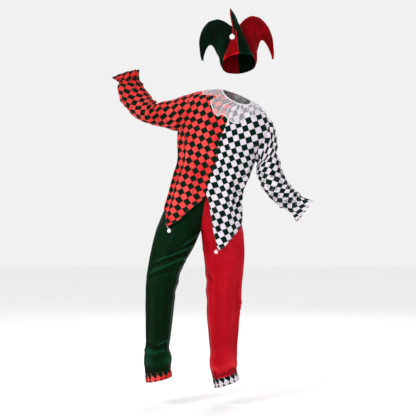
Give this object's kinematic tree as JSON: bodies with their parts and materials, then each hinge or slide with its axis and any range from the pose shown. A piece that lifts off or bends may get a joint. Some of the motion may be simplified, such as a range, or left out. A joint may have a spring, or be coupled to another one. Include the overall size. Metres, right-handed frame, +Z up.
{
  "type": "jester costume",
  "caption": "Worn two-coloured jester costume: check tunic with pointed hem and sheer ruff, satin trousers with check ankle bands, velvet horned hat with baubles.",
  "frame": {"origin": "middle of the tunic's neck opening, where the wearer's neck holds it up", "axes": "+Z up, -Y the way the wearer faces, +X to the viewer's right in front"},
  "size_m": [0.9785, 0.347, 1.8826],
  "materials": {
    "red_check": "printed cotton, coral red squares with dark green squares, set on their points, matte",
    "white_check": "printed cotton, off-white squares with dark green squares, set on their points, matte",
    "organza": "sheer white organza with a stitched edge, slightly shiny",
    "white_binding": "white cotton binding, folded and stitched",
    "green_satin": "dark green satin, soft long highlights",
    "red_satin": "deep red satin, soft long highlights",
    "red_velvet": "dark red velvet, short pile",
    "green_velvet": "dark green velvet, short pile",
    "bauble": "smooth white, slightly glossy",
    "thread": "white sewing thread"
  },
  "bodies": {
    "root": {"tunic_front_red": "red_check", "tunic_front_white": "white_check", "tunic_back_red": "red_check", "tunic_back_white": "white_check", "sleeve_red": "red_check", "sleeve_white": "white_check", "collar_ruff": "organza", "neck_binding": "white_binding", "trouser_front_green": "green_satin", "trouser_back_green": "green_satin", "trouser_front_red": "red_satin", "trouser_back_red": "red_satin", "ankle_band_green_leg": "red_check", "ankle_band_red_leg": "white_check", "gore_front_left": "red_velvet", "gore_front_right": "green_velvet", "gore_left_front": "green_velvet", "gore_left_back": "red_velvet", "gore_right_front": "red_velvet", "gore_right_back": "green_velvet", "hat_bauble": "bauble", "hem_bauble_red": "bauble", "hem_bauble_white": "bauble", "hat_thread": "thread", "hem_thread_red": "thread", "hem_thread_white": "thread"}
  },
  "joints": []
}
